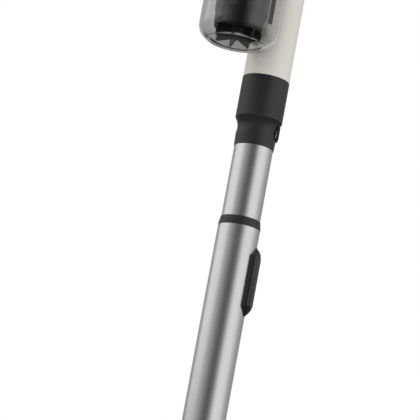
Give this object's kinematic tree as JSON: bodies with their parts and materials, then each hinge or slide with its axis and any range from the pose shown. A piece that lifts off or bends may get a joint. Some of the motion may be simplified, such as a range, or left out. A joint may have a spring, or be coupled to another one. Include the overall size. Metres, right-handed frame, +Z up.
{
  "type": "cordless stick vacuum",
  "caption": "Cordless stick vacuum: clear cyclone bin and motor housing on a neck, loop handle, telescopic metal wand, pivoting floor head with a driven brush roller.",
  "frame": {"origin": "on the floor, on the wand's axis with the wand upright, under the floor head's pitch joint, which is also the middle of the footprint", "axes": "+Z up along the wand, -Y to the front where the bin hangs and the floor head points, +X to the left of someone who holds it"},
  "size_m": [0.25, 0.2129, 1.1234],
  "materials": {
    "wand_metal": "brushed",
    "black_plastic": "matte",
    "dark_plastic": "matte",
    "grey_plastic": "matte",
    "shell_plastic": "satin",
    "clear_plastic": "clear",
    "lens_plastic": "gloss",
    "steel": "satin",
    "motor_metal": "satin",
    "seal_rubber": "matte",
    "filter_foam": "woven",
    "filter_paper": "pleated",
    "circuit_board": "satin",
    "bristle": "bristles"
  },
  "bodies": {
    "floor_head": {"head_cover": "shell_plastic", "side_cover_left": "dark_plastic", "sole_plate": "dark_plastic", "sole_screws": "steel", "glide_pads": "filter_foam", "seal_strip": "seal_rubber", "front_bumper": "seal_rubber", "head_motor": "motor_metal", "drive_belt": "seal_rubber", "wheel_axles": "steel", "pivot_pins": "steel"},
    "end_cover": {"side_cover_right": "dark_plastic"},
    "brush_roller": {"roller_core": "grey_plastic", "roller_bristles": "bristle", "roller_bearings": "steel", "roller_pulley": "dark_plastic"},
    "drive_pulley": {"motor_pulley": "steel"},
    "wheel_left": {"rear_wheel_left": "dark_plastic"},
    "wheel_right": {"rear_wheel_right": "dark_plastic"},
    "pitch_yoke": {"yoke": "dark_plastic"},
    "swivel": {"neck_swivel": "dark_plastic"},
    "lower_wand": {"lower_collar": "black_plastic", "lower_tube": "wand_metal", "telescope_ring": "black_plastic", "latch_frame": "black_plastic", "latch_spring": "steel"},
    "head_release": {"head_release_button": "black_plastic"},
    "telescope_latch": {"latch_button": "black_plastic", "latch_pin": "steel"},
    "upper_wand": {"upper_tube": "wand_metal", "slide_shoe": "black_plastic", "wand_collar": "black_plastic"},
    "wand_release": {"wand_release_button": "black_plastic"},
    "hand_unit": {"neck_duct": "shell_plastic", "motor_housing": "shell_plastic", "cyclone_shroud": "dark_plastic", "dust_cone": "dark_plastic", "small_cyclones": "grey_plastic", "bin_seal": "seal_rubber", "pre_motor_filter": "filter_foam", "fan_shell": "dark_plastic", "suction_motor": "motor_metal", "motor_mount": "seal_rubber", "handle_shell": "shell_plastic", "grip_pad": "seal_rubber", "control_board": "circuit_board", "display_lens": "lens_plastic"},
    "bin": {"dust_bin": "clear_plastic"},
    "bin_release": {"bin_release_button": "black_plastic"},
    "exhaust_cap": {"filter_cap": "shell_plastic", "exhaust_filter": "filter_paper"},
    "fan": {"impeller": "grey_plastic"},
    "power_key": {"power_button": "black_plastic"},
    "mode_up_key": {"mode_up_button": "black_plastic"},
    "mode_down_key": {"mode_down_button": "black_plastic"},
    "battery": {"battery_case": "dark_plastic", "battery_cells": "motor_metal", "battery_terminal": "dark_plastic", "charging_contacts": "steel"},
    "battery_key": {"battery_release": "black_plastic"}
  },
  "joints": [
    {"name": "end_cover_slide", "type": "slide", "parent": "floor_head", "child": "end_cover", "axis": [-1, 0, 0], "range_m": [0, 0.03]},
    {"name": "roller_spin", "type": "hinge", "parent": "floor_head", "child": "brush_roller", "pos_m": [0, -0.073, 0.027], "axis": [1, 0, 0], "continuous": true},
    {"name": "motor_pulley_spin", "type": "hinge", "parent": "floor_head", "child": "drive_pulley", "pos_m": [0, -0.027, 0.027], "axis": [1, 0, 0], "continuous": true},
    {"name": "wheel_left_spin", "type": "hinge", "parent": "floor_head", "child": "wheel_left", "pos_m": [0.051, 0.034, 0.017], "axis": [1, 0, 0], "continuous": true},
    {"name": "wheel_right_spin", "type": "hinge", "parent": "floor_head", "child": "wheel_right", "pos_m": [-0.051, 0.034, 0.017], "axis": [1, 0, 0], "continuous": true},
    {"name": "wand_pitch", "type": "hinge", "parent": "floor_head", "child": "pitch_yoke", "pos_m": [0, 0, 0.034], "axis": [-1, 0, 0], "range_deg": [0, 80]},
    {"name": "wand_twist", "type": "hinge", "parent": "pitch_yoke", "child": "swivel", "pos_m": [0, 0, 0.08], "axis": [0, 0, 1], "range_deg": [-90, 90]},
    {"name": "wand_pull_off", "type": "slide", "parent": "swivel", "child": "lower_wand", "axis": [0, 0, 1], "range_m": [0, 0.045]},
    {"name": "head_release_press", "type": "slide", "parent": "lower_wand", "child": "head_release", "axis": [0, -1, 0], "range_m": [0, 0.001], "stiffness_N_per_m": 400, "springref_m": -0.0015},
    {"name": "latch_press", "type": "slide", "parent": "lower_wand", "child": "telescope_latch", "axis": [-0.9563, -0.2924, 0], "range_m": [0, 0.0009], "stiffness_N_per_m": 400, "springref_m": -0.0015, "deforming": ["latch_spring"]},
    {"name": "wand_telescope", "type": "slide", "parent": "lower_wand", "child": "upper_wand", "axis": [0, 0, 1], "range_m": [-0.07, 0.25]},
    {"name": "wand_release_press", "type": "slide", "parent": "upper_wand", "child": "wand_release", "axis": [-0.8192, -0.5736, 0], "range_m": [0, 0.001], "stiffness_N_per_m": 400, "springref_m": -0.0015},
    {"name": "hand_unit_pull_off", "type": "slide", "parent": "upper_wand", "child": "hand_unit", "axis": [0, 0, 1], "range_m": [0, 0.04]},
    {"name": "bin_slide", "type": "slide", "parent": "hand_unit", "child": "bin", "axis": [0, 0, -1], "range_m": [0, 0.2]},
    {"name": "bin_release_press", "type": "slide", "parent": "hand_unit", "child": "bin_release", "axis": [0, 1, 0], "range_m": [0, 0.001], "stiffness_N_per_m": 400, "springref_m": -0.0015},
    {"name": "cap_lift", "type": "slide", "parent": "hand_unit", "child": "exhaust_cap", "axis": [0, 0, 1], "range_m": [0, 0.04]},
    {"name": "fan_spin", "type": "hinge", "parent": "hand_unit", "child": "fan", "pos_m": [0, -0.0636, 1.0175], "axis": [0, 0, 1], "continuous": true},
    {"name": "power_press", "type": "slide", "parent": "hand_unit", "child": "power_key", "axis": [0, 0, -1], "range_m": [0, 0.001], "stiffness_N_per_m": 400, "springref_m": -0.0015},
    {"name": "mode_up_press", "type": "slide", "parent": "hand_unit", "child": "mode_up_key", "axis": [0, 0, -1], "range_m": [0, 0.001], "stiffness_N_per_m": 400, "springref_m": -0.0015},
    {"name": "mode_down_press", "type": "slide", "parent": "hand_unit", "child": "mode_down_key", "axis": [0, 0, -1], "range_m": [0, 0.001], "stiffness_N_per_m": 400, "springref_m": -0.0015},
    {"name": "battery_slide", "type": "slide", "parent": "hand_unit", "child": "battery", "axis": [0, 0, -1], "range_m": [0, 0.06]},
    {"name": "battery_release_press", "type": "slide", "parent": "battery", "child": "battery_key", "axis": [0, -1, 0], "range_m": [0, 0.001], "stiffness_N_per_m": 400, "springref_m": -0.0015}
  ],
  "couplings": [
    {"joint": "motor_pulley_spin", "follows": "roller_spin", "ratio": 2}
  ]
}
